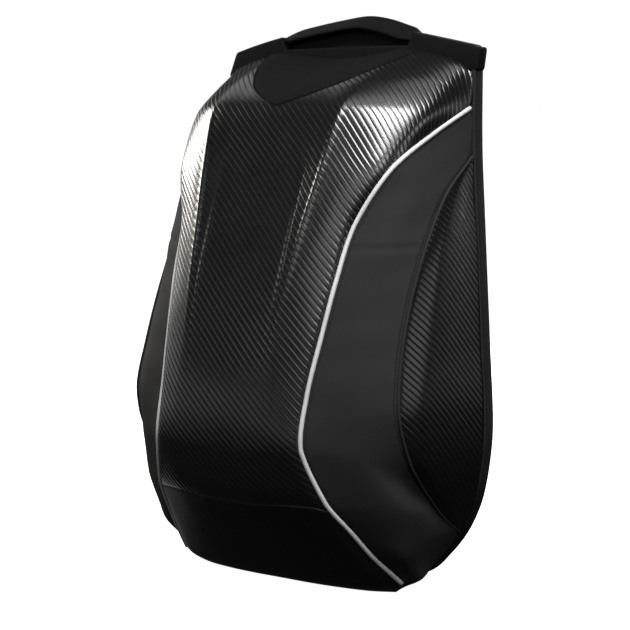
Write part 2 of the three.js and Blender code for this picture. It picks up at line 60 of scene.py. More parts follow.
# Levels of the bag from the back of the base round the front to the back of the top, with points on as many
# of these lines as pass there: mid = centre line, foot = inner foot of the ridge, ridge, shoulder,
# pipe = seam with the piping, side = widest line of the side panel, seam = its back seam,
# crest = top of the padded rear side panel, edge = back edge of that panel
LINES = ("mid", "foot", "ridge", "shoulder", "pipe", "side", "seam", "crest", "edge")
LEVEL_POINTS = {
    "base back": [(0, -12.4, 0), (30, -12.4, 0), (55, -12.4, 0), (80, -12.4, 0), (92, -12.4, 0)],
    "base front": [(0, -104, 0), (34, -104, 0), (62, -102, 0), (98, -95, 0), (118, -84, 0),
                   (106.4, -52, 0), (92, -12.4, 0)],
    "toe": [(0, -112, 4), (34, -112, 4), (64, -111, 4.5), (112, -103, 7), (131, -92, 11),
            (134, -72, 10), (102, -12.4, 6)],
    "shin": [(0, -143, 40), (33, -143, 40), (64, -141, 40), (103, -131, 39), (119, -118, 37),
             (145, -104, 36), (123, -12.4, 27)],
    "heel": [(0, -163, 64), (33, -163, 64), (62, -161, 65), (97, -150, 65), (110, -139, 62),
             (150, -110, 58), (137, -14.5, 46), (137.3, -13.5, 46), (137.5, -12.4, 46)],
    "knuckle": [(0, -181, 88), (33, -180.5, 89), (59, -178, 92), (89, -168, 91), (100, -159, 86),
                (153, -119, 84), (148, -60, 71), (151.2, -46, 72.2), (152, -12.4, 75)],
    "belly": [(0, -189, 134), (35, -188.5, 134), (56, -187, 134), (78, -182, 134), (86, -177, 134),
              (131, -150, 128), (158, -115, 120), (162.3, -103, 119.8), (160.5, -12.4, 118)],
    "waist": [(0, -186, 182), (42, -184.5, 182), (55, -183, 182), (79, -175, 182), (86, -169, 182),
              (125, -155, 174), (156.5, -131, 165), (164.5, -107.5, 164.6), (161.5, -12.4, 163)],
    "low chest": [(0, -175.2, 231), (46, -174.6, 231), (54, -174, 231), (84, -163, 231), (91, -156, 231),
                  (123.5, -142.5, 223), (152, -122, 215), (161.6, -92.4, 214.5), (158, -12.4, 213)],
    "chest": [(0, -162.2, 279), (48, -162, 279), (57.5, -162, 279), (88.5, -148.3, 281), (96, -142, 279),
              (126, -127, 271), (150, -106, 263), (159, -80.7, 262.7), (155.5, -12.4, 262)],
    "high chest": [(0, -146.4, 327), (48, -146.2, 327), (63, -147, 327), (97.5, -131.5, 330),
                   (102, -124, 327), (132, -107.5, 320), (150, -83, 312), (156.2, -67.5, 311.8),
                   (153, -12.4, 311)],
    "collar": [(0, -128.6, 376), (48, -128.2, 376), (70, -129.8, 378), (117, -109.5, 381), (125, -101, 376),
               (139, -79, 364), (149.5, -55, 353), (152.5, -44.4, 353), (149.5, -12.4, 353)],
    "brow": [(0, -115, 426), (45, -113.8, 427), (76, -110, 430), (136, -70, 422), (138, -52, 409),
             (143.5, -33, 398), (148.3, -14.5, 386), (148.3, -13.5, 386.5), (148.3, -12.4, 387)],
    "top slope": [(0, -98, 443), (45, -95, 445), (78, -84, 450.5), (138, -36, 448), (147, -16, 429),
                  (147.7, -14.2, 420), (148.3, -12.4, 412)],
    "top back": [(0, -12.4, 477), (45, -12.4, 481), (77, -12.4, 485), (134, -12.4, 472), (147.5, -12.4, 462)],
}
LEVEL_NAMES = list(LEVEL_POINTS)
LEVELS = [dict(zip(LINES, points)) for points in LEVEL_POINTS.values()]
# The lines of each sheet, the grid steps between them, and how far each stretch is pulled straight
SHELL_LINES = ("mid", "foot", "ridge", "shoulder", "pipe")
SHELL_COUNTS, SHELL_CRISP = (22, 16, 30, 10), (0.3, 0.45, 0.05, 0.0)
SIDE_LINES, SIDE_COUNTS, SIDE_CRISP = ("pipe", "side", "seam"), (18, 16), (0.1, 0.1)
REAR_LINES, REAR_COUNTS, REAR_CRISP = ("seam", "crest", "edge"), (14, 26), (0.3, 0.4)
# The same for each stretch from one level to the next, so that folds stay crisp, and the size of a step
ROW_CRISP = {"base front": 0.3, "toe": 0.3, "heel": 0.45, "knuckle": 0.45, "collar": 0.25, "brow": 0.25}
ROW_CRISP_ELSEWHERE = 0.1
ROW_STEP = 3.0

# Right side of the back outline, [x, z]; below its belly, moving it in also lifts it
OUTLINE_BOTTOM, OUTLINE_BELLY = 90.0, 125.0
OUTLINE_SIDE = [(121, 25), (138, 46), (153, 77), (162, 125), (163, 150), (159, 220), (153, 324), (149, 400)]


# Curves and grids

def unit(vectors):
    return vectors / np.linalg.norm(vectors, axis=-1, keepdims=True)


def bell(distance, width):
    return np.exp(-((distance / width) ** 2))


def smoothed(points, counts, crisp):
    """Points of a centripetal Catmull-Rom curve, counts[i] of them in span i; crisp[i] straightens it."""
    p = np.asarray(points, float)
    q = np.concatenate([(2 * p[0] - p[1])[None], p, (2 * p[-1] - p[-2])[None]])
    gap = np.maximum(np.linalg.norm(np.diff(q, axis=0), axis=-1, keepdims=True), 1e-4) ** 0.5
    out = []
    for i, (count, k) in enumerate(zip(counts, crisp)):
        p0, p1, p2, p3 = q[i:i + 4]
        g0, g1, g2 = gap[i:i + 3]
        leave = g1 * ((p1 - p0) / g0 - (p2 - p0) / (g0 + g1) + (p2 - p1) / g1)
        meet = g1 * ((p2 - p1) / g1 - (p3 - p1) / (g1 + g2) + (p3 - p2) / g2)
        leave = leave + k * (p2 - p1 - leave)
        meet = meet + k * (p2 - p1 - meet)
        for t in np.arange(count) / count:
            out.append((2 * t**3 - 3 * t**2 + 1) * p1 + (t**3 - 2 * t**2 + t) * leave
                       + (3 * t**2 - 2 * t**3) * p2 + (t**3 - t**2) * meet)
    out.append(p[-1])
    return np.array(out)


def curve(points, step):
    """Smooth line through points with samples about step apart."""
    p = np.asarray(points, float)
    counts = [max(1, round(np.linalg.norm(b - a) / step)) for a, b in zip(p, p[1:])]
    return smoothed(p, counts, [0.0] * len(counts))


ROW_COUNTS = [max(2, round(np.linalg.norm(np.subtract(b["ridge"], a["ridge"])) / ROW_STEP))
              for a, b in zip(LEVELS, LEVELS[1:])]
ROW_OF = dict(zip(LEVEL_NAMES, np.concatenate([[0], np.cumsum(ROW_COUNTS)])))


def level_lines(names, first=None):
    """The named lines over the rows that all of them have, as (line, row, xyz), and the first row."""
    held = [i for i, level in enumerate(LEVELS) if all(name in level for name in names)]
    if first:
        held = [i for i in held if i >= LEVEL_NAMES.index(first)]
    counts = ROW_COUNTS[held[0]:held[-1]]
    crisp = [ROW_CRISP.get(LEVEL_NAMES[i], ROW_CRISP_ELSEWHERE) for i in held[:-1]]
    control = np.array([[LEVELS[i][name] for name in names] for i in held], float)
    return smoothed(control, counts, crisp).transpose(1, 0, 2), ROW_OF[LEVEL_NAMES[held[0]]]


def both_sides(lines, crisp):
    """Grid across the whole bag through the shell's lines on its right side, from the middle out."""
    control = np.concatenate([(lines[1:] * (-1, 1, 1))[::-1], lines])
    counts = SHELL_COUNTS[::-1] + SHELL_COUNTS
    return smoothed(control, counts, crisp[::-1] + crisp).transpose(1, 0, 2)


def sided(grid, sign):
    """The grid, or for the left side its mirror image with its faces still pointing out."""
    return (grid * (sign, 1, 1)[:grid.shape[-1]])[:, ::sign]


def relaxed(grid, times):
    """The grid with its folds rounded; its border keeps its place."""
    grid = grid.copy()
    for _ in range(times):
        middle = grid[1:-1, 1:-1]
        along = (grid[:-2, 1:-1] + grid[2:, 1:-1]) / 2
        across = (grid[1:-1, :-2] + grid[1:-1, 2:]) / 2
        grid[1:-1, 1:-1] = 0.5 * middle + 0.25 * along + 0.25 * across
    return grid


def normals_of(grid):
    n = np.cross(np.gradient(grid, axis=1), np.gradient(grid, axis=0))
    return n / np.maximum(np.linalg.norm(n, axis=-1, keepdims=True), 1e-9)


def arc(grid, axis):
    """Length along an axis of the grid up to each point."""
    steps = np.linalg.norm(np.diff(grid, axis=axis), axis=-1)
    start = np.zeros_like(np.take(steps, [0], axis=axis))
    return np.concatenate([start, np.cumsum(steps, axis=axis)], axis=axis)


def sampled(line, lengths, s):
    """Points of a line at lengths along it."""
    return np.stack([np.interp(s, lengths, line[:, k]) for k in range(line.shape[-1])], -1)


def sunk(grid, depth):
    """The grid moved in by a depth at each of its points."""
    return grid - normals_of(grid) * depth[..., None]


def dipped(grid, depth, width, last=True):
    """The grid with its first column, and its last one if asked, turned down into their seams."""
    lengths = arc(grid, 1)
    fall = bell(lengths, width)
    if last:
        fall += bell(lengths[:, -1:] - lengths, width)
    return sunk(grid, depth * fall)


def creased(grid, column, depth, width, strength):
    """The grid with a narrow groove, or a bead where the depth is negative, along one column."""
    lengths = arc(grid, 1)
    fall = bell(lengths - lengths[:, [column]], width) * strength[:, None]
    return sunk(grid, depth * fall)


def tucked(grid, depth, width):
    """The grid with its last rows turned down, where they pass under the strip along the top."""
    lengths = arc(grid, 0)
    return sunk(grid, depth * bell(lengths[-1:] - lengths, width))


def frames(path, across_hint):
    """Directions along a path: across it near the hint, and up out of it."""
    along = unit(np.gradient(path, axis=0))
    up = unit(np.cross(np.broadcast_to(across_hint, path.shape), along))
    return np.cross(along, up), up


def rounded(width, height, radius, corner=4):
    """Points round a rectangle with round corners."""
    points = []
    for cx, cy, start in ((1, 1, 0), (-1, 1, 90), (-1, -1, 180), (1, -1, 270)):
        for i in range(corner + 1):
            angle = math.radians(start + 90 * i / corner)
            points.append((cx * (width / 2 - radius) + radius * math.cos(angle),
                           cy * (height / 2 - radius) + radius * math.sin(angle)))
    return points


def upright(outline, y):
    """Points of an outline [x, z] that stands at a place y."""
    return np.insert(outline, 1, y, axis=-1)


# Meshes

def to_row(points):
    """Points of the bag's own frame in metres in the row frame."""
    return (np.asarray(points, float) + (0, BASE_CENTRE, 0)) * MM


def mesh_object(name, points, faces, uv=None, material=None, smooth=True):
    mesh = bpy.data.meshes.new(name)
    mesh.from_pydata(to_row(points).tolist(), [], faces)
    if uv is not None:
        layer = mesh.uv_layers.new(name="weave")
        index = np.zeros(len(mesh.loops), int)
        mesh.loops.foreach_get("vertex_index", index)
        layer.data.foreach_set("uv", (np.asarray(uv)[index] * MM).astype(np.float32).ravel())
    if smooth:
        mesh.shade_smooth()
    mesh.update()
    obj = bpy.data.objects.new(name, mesh)
    bpy.context.scene.collection.objects.link(obj)
    if material:
        mesh.materials.append(material)
    return obj


def grid_faces(rows, columns, wrap=False):
    faces = []
    for i in range(rows - 1):
        for j in range(columns if wrap else columns - 1):
            k = (j + 1) % columns
            faces.append((i * columns + j, i * columns + k, (i + 1) * columns + k, (i + 1) * columns + j))
    return faces


def closed_faces(rows, columns):
    """Faces of a closed body through rings of points, with a cap at each end."""
    first, last = range(columns), range((rows - 1) * columns, rows * columns)
    return [*grid_faces(rows, columns, wrap=True), tuple(first)[::-1], tuple(last)]


def turned_out(points, faces):
    """Closed faces, turned over if they point in, which a negative volume inside them shows."""
    corners = points - points.mean(0)
    volume = sum(np.dot(corners[face[0]], np.cross(corners[a], corners[b]))
                 for face in faces for a, b in zip(face[1:], face[2:]))
    return faces if volume > 0 else [face[::-1] for face in faces]


def grid_object(name, grid, uv, material, wall):
    """Sheet with its outer face on the grid and the given wall behind it."""
    faces = grid_faces(*grid.shape[:2])
    obj = mesh_object(name, grid.reshape(-1, 3), faces, uv.reshape(-1, 2), material)
    thick = obj.modifiers.new("wall", "SOLIDIFY")
    thick.thickness = wall * MM
    thick.offset = -1.0
    # Keeps the small faces round its border from tilting the shading of the sheet.
    crisp = obj.modifiers.new("crisp", "WEIGHTED_NORMAL")
    crisp.mode, crisp.weight = "FACE_AREA", 100
    return obj


def tube(name, rings, material, uv=None):
    """Closed body through rings of points; its weave runs round it and along it if not given."""
    points = rings.reshape(-1, 3)
    if uv is None:
        around, along = arc(rings[:1], 1), arc(rings.mean(1)[:, None], 0)
        uv = np.stack(np.broadcast_arrays(around, along), -1).reshape(-1, 2)
    faces = turned_out(points, closed_faces(*rings.shape[:2]))
    return mesh_object(name, points, faces, uv, material)


def sweep(name, centres, sides, ups, profile, material):
    """Closed body: a profile [(a, b)] carried along centres, a along sides and b along ups."""
    profile = np.broadcast_to(profile, (len(centres), *np.shape(profile)[-2:]))
    rings = centres[:, None] + profile[..., :1] * sides[:, None] + profile[..., 1:] * ups[:, None]
    return tube(name, rings, material)


def piece(obj, slot, *nodes):
    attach(obj, "root")
    if nodes:
        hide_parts(*nodes)
    return obj


# Materials

# Ribs of the weave: pitch, share of the pitch that is raised, how round they are,
# and how steeply they fall to the right in degrees
RIB_PITCH, RIB_SHARE, RIB_CROWN, RIB_FALL = 5.2, 0.62, 0.2, 42.0
# Fine strands across each rib: pitch, and how low they dip
STRAND_PITCH, STRAND_DIP = 1.3, 0.9
# Roughness of the grooves and of the ribs, and how wear changes it
GROOVE_ROUGH, RIB_ROUGH, WEAR_ROUGH = 0.36, 0.2, (-0.03, 0.05)
# Pitch of plain cloth, its weft against its warp, and the height of its threads in metres
CLOTH_PITCH, CLOTH_WEFT, CLOTH_BUMP = 0.9, 0.8, 0.00008
# Pitch of the holes in the mesh over foam
HOLE_PITCH = 4.2


def grey(level, blue=None):
    """Neutral colour, with a level of its own for blue where one is given."""
    return (level, level, blue or level)


class Graph:
    """Short names for the nodes of one material."""

    def __init__(self, name):
        self.material = bpy.data.materials.new(name)
        self.material.use_nodes = True
        self.nodes, self.links = self.material.node_tree.nodes, self.material.node_tree.links
        self.shader = self.nodes["Principled BSDF"]

    def plug(self, value, socket):
        if hasattr(value, "is_output"):
            self.links.new(value, socket)
        else:
            socket.default_value = value

    def math(self, operation, a, b=0.0, c=0.0):
        node = self.nodes.new("ShaderNodeMath")
        node.operation = operation
        for value, socket in zip((a, b, c), node.inputs):
            self.plug(value, socket)
        return node.outputs[0]

    def add(self, a, b):
        return self.math("ADD", a, b)

    def less(self, a, b):
        return self.math("SUBTRACT", a, b)

    def times(self, a, b):
        return self.math("MULTIPLY", a, b)

    def ridges(self, length, pitch):
        """Rounded ridges from 0 to 1 along a length."""
        return self.math("ABSOLUTE", self.math("SINE", self.times(length, math.pi / pitch)))

    def split(self, vector):
        node = self.nodes.new("ShaderNodeSeparateXYZ")
        self.links.new(vector, node.inputs[0])
        return list(node.outputs)

    def uv(self):
        """The two coordinates of the weave, in metres."""
        source = self.nodes.new("ShaderNodeUVMap")
        source.uv_map = "weave"
        return self.split(source.outputs[0])[:2]

    def place(self):
        """Object coordinates, in metres."""
        return self.nodes.new("ShaderNodeTexCoord").outputs["Object"]

    def noise(self, scale, detail):
        node = self.nodes.new("ShaderNodeTexNoise")
        node.inputs["Scale"].default_value = scale
        node.inputs["Detail"].default_value = detail
        self.links.new(self.place(), node.inputs["Vector"])
        return node.outputs["Fac"]

    def between(self, value, low, high):
        """A value from 0 to 1 stretched from low to high."""
        return self.math("MULTIPLY_ADD", value, high - low, low)

    def ramp(self, value, low, high):
        """Colour from low to high, as value goes from 0 to 1."""
        node = self.nodes.new("ShaderNodeMix")
        node.data_type = "RGBA"
        self.plug(value, node.inputs["Factor"])
        node.inputs["A"].default_value = (*low, 1)
        node.inputs["B"].default_value = (*high, 1)
        return node.outputs["Result"]

    def bump(self, height, distance):
        node = self.nodes.new("ShaderNodeBump")
        node.inputs["Strength"].default_value = 1.0
        node.inputs["Distance"].default_value = distance
        self.links.new(height, node.inputs["Height"])
        self.links.new(node.outputs[0], self.shader.inputs["Normal"])

    def set(self, **values):
        for name, value in values.items():
            self.plug(value, self.shader.inputs[name.replace("_", " ")])
        return self.material


def woven_sheet(name, specular, height):
    """Glossy black sheet with raised slanting ribs, each crossed by fine strands."""
    g = Graph(name)
    u, v = g.uv()
    sine, cosine = math.sin(math.radians(RIB_FALL)), math.cos(math.radians(RIB_FALL))
    across = g.times(g.add(g.times(u, sine), g.times(v, cosine)), 1 / (RIB_PITCH * MM))
    along = g.add(g.times(u, cosine), g.times(v, -sine))
    offset = g.math("ABSOLUTE", g.less(g.times(g.math("FRACT", across), 2.0), 1.0))
    to_groove = g.less(1.0, offset)
    bulge = g.times(offset, 1 / RIB_SHARE)
    crown = g.less(1.0, g.times(g.times(bulge, bulge), RIB_CROWN))
    flank = g.times(to_groove, (1 - RIB_CROWN) / (1 - RIB_SHARE))
    rib = g.math("MINIMUM", crown, flank)
    # The strands of one rib lie between those of the next.
    strand = g.add(g.times(along, 1 / (STRAND_PITCH * MM)), g.times(g.math("FLOOR", across), 0.5))
    gloss_and_groove_shade = g.math("SMOOTH_MIN", g.times(to_groove, 1 / (1 - RIB_SHARE)), 1.0, 0.3)
    wear = g.noise(35.0, 4.0)
    g.bump(g.times(rib, g.between(g.ridges(strand, 1.0), STRAND_DIP, 1.0)), height)
    # The grooves are painted darker than the rib tops: painted shade. The same mask also makes the rib tops
    # glossier.
    colour = g.ramp(gloss_and_groove_shade, grey(0.001), grey(0.003, 0.0032))
    rough = g.add(g.between(gloss_and_groove_shade, GROOVE_ROUGH, RIB_ROUGH), g.between(wear, *WEAR_ROUGH))
    return g.set(Base_Color=colour, Roughness=rough, Specular_IOR_Level=specular)


def cloth(name, dark, light, roughness, sheen, specular):
    """Matt cloth with a fine plain weave on the weave coordinates."""
    g = Graph(name)
    u, v = g.uv()
    warp, weft = g.ridges(u, CLOTH_PITCH * MM), g.ridges(v, CLOTH_WEFT * CLOTH_PITCH * MM)
    threads = g.math("MAXIMUM", warp, g.times(weft, 0.9))
    patchy = g.noise(22.0, 5.0)
    g.bump(g.add(threads, g.times(patchy, 1.5)), CLOTH_BUMP)
    colour = g.ramp(g.add(g.times(threads, 0.4), g.times(patchy, 0.6)), dark, light)
    return g.set(Base_Color=colour, Roughness=g.between(patchy, roughness - 0.06, roughness + 0.06),
                 Sheen_Weight=sheen, Sheen_Roughness=0.5, Specular_IOR_Level=specular)


def ribbed_tape(name, dark, light, pitch=1.4):
    """Woven tape with ribs across its length."""
    g = Graph(name)
    u, v = g.uv()
    rib, cross = g.ridges(v, pitch * MM), g.ridges(u, 0.7 * pitch * MM)
    wear = g.noise(30.0, 4.0)
    g.bump(g.add(g.times(rib, 0.8), g.times(cross, 0.3)), 0.00012)
    colour = g.ramp(g.add(g.times(rib, 0.4), g.times(wear, 0.6)), dark, light)
    return g.set(Base_Color=colour, Roughness=g.between(wear, 0.7, 0.9), Specular_IOR_Level=0.06)


def reflective_cord(name):
    """Light grey knitted cord, with its knit at a slant."""
    g = Graph(name)
    u, v = g.uv()
    wear = g.noise(60.0, 3.0)
    g.bump(g.ridges(g.add(v, g.times(u, 0.6)), 0.8 * MM), 0.00004)
    return g.set(Base_Color=g.ramp(wear, grey(0.25), grey(0.34)),
                 Roughness=g.between(wear, 0.35, 0.5), Specular_IOR_Level=0.6)


def spacer_mesh(name):
    """Open knit over foam: rows of small round holes."""
    g = Graph(name)
    x, _, z = g.split(g.place())
    row = g.times(z, 1 / (HOLE_PITCH * MM))
    shift = g.times(g.math("MODULO", g.math("FLOOR", row), 2.0), 0.5)
    a = g.less(g.math("FRACT", g.add(g.times(x, 1 / (HOLE_PITCH * MM)), shift)), 0.5)
    b = g.less(g.math("FRACT", row), 0.5)
    radius = g.math("SQRT", g.add(g.times(a, a), g.times(b, b)))
    net = g.math("SMOOTH_MIN", g.times(radius, 2.6), 1.0, 0.3)
    wear = g.noise(25.0, 4.0)
    g.bump(net, 0.0006)
    colour = g.ramp(g.times(net, g.between(wear, 0.8, 1.1)), grey(0.004), grey(0.024, 0.026))
    return g.set(Base_Color=colour, Roughness=g.between(wear, 0.75, 0.95), Sheen_Weight=0.03,
                 Sheen_Roughness=0.5, Specular_IOR_Level=0.2)


def moulded_plastic(name):
    g = Graph(name)
    wear = g.noise(40.0, 3.0)
    g.bump(g.noise(900.0, 3.0), 0.00006)
    return g.set(Base_Color=g.ramp(wear, grey(0.012), grey(0.022)), Roughness=g.between(wear, 0.4, 0.55))


def thread(name, dark, light):
    g = Graph(name)
    twist = g.noise(1500.0, 2.0)
    g.bump(twist, 0.00005)
    return g.set(Base_Color=g.ramp(twist, dark, light), Roughness=0.95, Specular_IOR_Level=0.02)


def studio_floor(name):
    """Pale floor that glows enough to look as white as the photograph's."""
    g = Graph(name)
    return g.set(Base_Color=g.ramp(g.noise(3.0, 2.0), grey(0.50), grey(0.54)), Roughness=0.9,
                 Specular_IOR_Level=0.1, Emission_Color=(1, 1, 1, 1), Emission_Strength=0.96)


WEAVE = woven_sheet("woven_sheet", 0.5, 0.00024)
WEAVE_REAR = woven_sheet("woven_sheet_rear", 0.18, 0.00022)
FOOT = cloth("foot_cloth", grey(0.003), grey(0.006), roughness=0.42, sheen=0.0, specular=0.2)
SIDE = cloth("side_cloth", grey(0.008), grey(0.0128, 0.013), roughness=0.75, sheen=0.01, specular=0.06)
PATCH_CLOTH = cloth("patch_cloth", grey(0.0018), grey(0.0034, 0.0035), roughness=0.8, sheen=0.0,
                    specular=0.03)
BACK_CLOTH = cloth("back_cloth", grey(0.004), grey(0.008, 0.0082), roughness=0.8, sheen=0.0, specular=0.05)
TAPE = ribbed_tape("edge_tape", grey(0.006), grey(0.012, 0.0122))
# The strip along the top and the handle get a copy of the edge tape several times darker: painted shade.
TOP_TAPE_PAINTED_SHADE = ribbed_tape("top_tape_painted_shade", grey(0.0011), grey(0.0022, 0.0023))
WEBBING = ribbed_tape("strap_webbing", grey(0.010), grey(0.020, 0.0202), pitch=1.8)
CORD = reflective_cord("reflective_cord")
MESH = spacer_mesh("spacer_mesh")
PLASTIC = moulded_plastic("moulded_plastic")
THREAD = thread("thread", grey(0.002), grey(0.006, 0.0061))
STRAP_THREAD = thread("strap_thread", grey(0.06), grey(0.1, 0.102))


# Moulded shell with its smooth foot

SHELL_WALL = 2.5
# Rows before and after the brow between which the bead ends, and rows from the foot's end up to the knuckle
BEAD_END, FOOT_LEAD = (4, 3), 3
# Grid steps and rounds for laying the shell's sheet flat
FLAT_STEP, FLAT_ROUNDS = 4, 40


def flattened(grid, middle_column, low_row, high_row):
    """Coordinates in millimetres of the sheet laid flat, upright along part of the middle column."""
    rows, columns = (np.unique([*range(0, count, FLAT_STEP), count - 1]) for count in grid.shape[:2])
    coarse = grid[np.ix_(rows, columns)]
    points = coarse.reshape(-1, 3)
    obj = mesh_object("flat_sheet", points, grid_faces(*coarse.shape[:2]), points[:, :2])
    bpy.ops.object.select_all(action="DESELECT")
    obj.select_set(True)
    bpy.context.view_layer.objects.active = obj
    bpy.ops.object.mode_set(mode="EDIT")
    bpy.ops.mesh.select_all(action="SELECT")
    bpy.ops.uv.unwrap(method="MINIMUM_STRETCH", iterations=FLAT_ROUNDS)
    bpy.ops.object.mode_set(mode="OBJECT")
    flat = np.zeros((len(points), 2))
    layer = obj.data.uv_layers.active.data
    for loop in obj.data.loops:
        flat[loop.vertex_index] = layer[loop.index].uv
    bpy.data.objects.remove(obj)
    flat = flat.reshape(*coarse.shape[:2], 2)
    flat *= arc(coarse, 1)[:, -1].sum() / arc(flat, 1)[:, -1].sum()
    flat = np.stack([sampled(row, columns, np.arange(grid.shape[1])) for row in flat])
    flat = np.stack([sampled(line, rows, np.arange(len(grid))) for line in flat.transpose(1, 0, 2)], 1)
    up = unit(flat[high_row, middle_column] - flat[low_row, middle_column])
    level = np.array((up[1], -up[0]))
    if np.dot(flat[low_row, -1] - flat[low_row, 0], level) < 0:
        level = -level
    flat = flat - flat[low_row, middle_column]
    return np.stack([flat @ level, flat @ up], -1)


def fade(start, full, full_end, end):
    """Shares for the rows of the shell, rising from start to full and falling from full_end to end."""
    return np.interp(np.arange(len(raw_shell)), [start, full, full_end, end], [0, 1, 1, 0])


shell_lines, shell_first = level_lines(SHELL_LINES, "base front")
raw_shell = tucked(relaxed(both_sides(shell_lines, SHELL_CRISP), times=3), depth=2.2, width=5.0)
MIDDLE = sum(SHELL_COUNTS)
row_at = {name: ROW_OF[name] - shell_first for name in LEVEL_NAMES[1:]}
groove = fade(row_at["waist"], row_at["chest"], row_at["high chest"], row_at["brow"])
bead = fade(row_at["low chest"], row_at["high chest"],
            row_at["brow"] - BEAD_END[0], row_at["brow"] + BEAD_END[1])
shell = raw_shell
for sign in (-1, 1):
    foot_column = MIDDLE + sign * SHELL_COUNTS[0]
    ridge_column = foot_column + sign * SHELL_COUNTS[1]
    shell = creased(shell, foot_column, depth=0.6, width=1.6, strength=groove)
    shell = creased(shell, ridge_column, depth=-1.1, width=2.8, strength=bead)
shell = dipped(shell, depth=0.8, width=2.0)
shell_uv = flattened(raw_shell, MIDDLE, row_at["waist"], row_at["collar"])

foot_end = row_at["knuckle"] - FOOT_LEAD
piece(grid_object("moulded_front", shell[foot_end:], shell_uv[foot_end:], WEAVE, SHELL_WALL),
      "shell_weave", "front_shell")
piece(grid_object("shell_foot", shell[:foot_end + 1], shell_uv[:foot_end + 1], FOOT, SHELL_WALL),
      "patch_fabric", "front_shell")

# Flat base under the bag
BASE_ROWS = 24
base_lines = np.array([[level[name] for level in LEVELS[:2]] for name in SHELL_LINES], float)
base_back, base_front = both_sides(base_lines, (0.0,) * len(SHELL_COUNTS))
base_grid = base_back + np.linspace(0, 1, BASE_ROWS)[:, None, None] * (base_front - base_back)
piece(grid_object("base_sheet", base_grid, base_grid[..., :2], SIDE, SHELL_WALL), "side_fabric", "base_panel")


# Patch on the top slope

# Right side of the patch seen from above, from its tip to the back, [x, y], and half the width of its tip
PATCH = [(0, -110.5), (14, -106.5), (32, -98.5), (46, -88.5), (58, -75), (68, -61), (77, -46), (84, -31),
         (87, -14.5)]
PATCH_TIP, PATCH_WALL, PATCH_ROWS, PATCH_COLUMNS = 0.6, 1.0, 44, 61
# Height of its border over the shell, how much higher it swells, and how far from the border
PATCH_LIFT, PATCH_SWELL, PATCH_RISE = 0.3, 1.1, 4.0
# Thickness of the thread in its seam, and its height over the shell
SEAM_THREAD, SEAM_LIFT = 1.3, 0.35
# A height above the whole bag
SKY = 1000.0

shell_tree = BVHTree.FromPolygons([Vector(p) for p in raw_shell.reshape(-1, 3)],
                                  grid_faces(*raw_shell.shape[:2]))


def top_height(x, y):
    return shell_tree.ray_cast(Vector((x, y, SKY)), Vector((0, 0, -1)))[0].z


patch_edge = np.array(PATCH, float)
patch_rows = np.linspace(patch_edge[0, 1], patch_edge[-1, 1], PATCH_ROWS)
patch = np.zeros((PATCH_ROWS, PATCH_COLUMNS, 3))
for i, y in enumerate(patch_rows):
    half = max(PATCH_TIP, np.interp(y, patch_edge[:, 1], patch_edge[:, 0]))
    for j, t in enumerate(np.linspace(-1, 1, PATCH_COLUMNS)):
        to_border = min(half * (1 - abs(t)), y - patch_rows[0])
        swell = PATCH_LIFT + PATCH_SWELL * (1 - math.exp(-to_border / PATCH_RISE))
        patch[i, j] = (half * t, y, top_height(half * t, y) + swell)
piece(grid_object("crown_patch", patch, patch[..., :2], PATCH_CLOTH, PATCH_WALL), "patch_fabric", "top_patch")

seam_half = curve(PATCH[::-1], step=2.0)
seam_flat = np.concatenate([seam_half * (-1, 1), seam_half[-2::-1]])
seam_path = np.array([(x, y, top_height(x, y) + SEAM_LIFT) for x, y in seam_flat])
seam_shape = rounded(SEAM_THREAD, SEAM_THREAD, radius=0.6, corner=3)
piece(sweep("patch_seam", seam_path, *frames(seam_path, (0.0, -0.4, -1.0)), seam_shape, THREAD), "tape")


# Piping and the panels behind it

# Thickness of the piping, how far its middle lies inside the seam, and the wall of the panels
CORD_THICK, CORD_SINK, PANEL_WALL = 4.2, 0.4, 1.6
# Heights between which the ripples of the side panel grow, and the shares of their depth there
RIPPLE_HEIGHTS, RIPPLE_SHARES = (120.0, 210.0), (0.1, 1.0)
# Fold across the side panel: Y and Z of one of its points, its rise to the back, depth and width
FOLD_PLACE, FOLD_HEIGHT, FOLD_RISE, FOLD_DEPTH, FOLD_WIDTH = -100.0, 308.0, 0.05, 1.3, 1.8
# Distance from the seams at which ripples and fold have mostly died away
CALM = 8.0
# Welt between the two panels: thickness, how far it is lifted, and the column that it is lifted along
WELT_THICK, WELT_LIFT, WELT_COLUMN = 2.6, 0.4, 3

pipe_line, pipe_first = level_lines(("shoulder", "pipe", "seam"), "toe")
cord_end = ROW_OF["top slope"] - pipe_first
inward = -unit(np.cross(pipe_line[2] - pipe_line[0], np.gradient(pipe_line[1], axis=0)))
cord_path = (pipe_line[1] + CORD_SINK * inward)[:cord_end + 1]


def side_panel_grid():
    lines, _ = level_lines(SIDE_LINES, "base front")
    grid = relaxed(smoothed(lines, SIDE_COUNTS, SIDE_CRISP).transpose(1, 0, 2), times=2)
    y, z = grid[..., 1], grid[..., 2]
    # Slow waves both ways and quicker ones half as deep
    ripple = (0.5 * np.sin(0.055 * z + 0.03 * y) * np.sin(0.09 * y - 0.02 * z)
              + 0.25 * np.sin(0.19 * z - 0.05 * y + 1.0))
    ripple *= np.interp(z, RIPPLE_HEIGHTS, RIPPLE_SHARES)
    fold = bell(z - FOLD_HEIGHT - FOLD_RISE * (y - FOLD_PLACE), FOLD_WIDTH)
    lengths = arc(grid, 1)
    inside = np.minimum(lengths, lengths[:, -1:] - lengths)
    calm = 1 - np.exp(-inside / CALM)
    return dipped(sunk(grid, (FOLD_DEPTH * fold - ripple) * calm), depth=1.3, width=3.0)


def rear_panel_grid():
    lines, _ = level_lines(REAR_LINES)
    grid = smoothed(lines, REAR_COUNTS, REAR_CRISP).transpose(1, 0, 2)
    return dipped(relaxed(grid, times=3), depth=0.8, width=2.6, last=False)


def panel_uv(grid):
    """Lengths back towards the last column, which is straight, and heights."""
    lengths = arc(grid, 1)
    return np.stack([lengths - lengths[:, -1:], grid[..., 2]], -1)


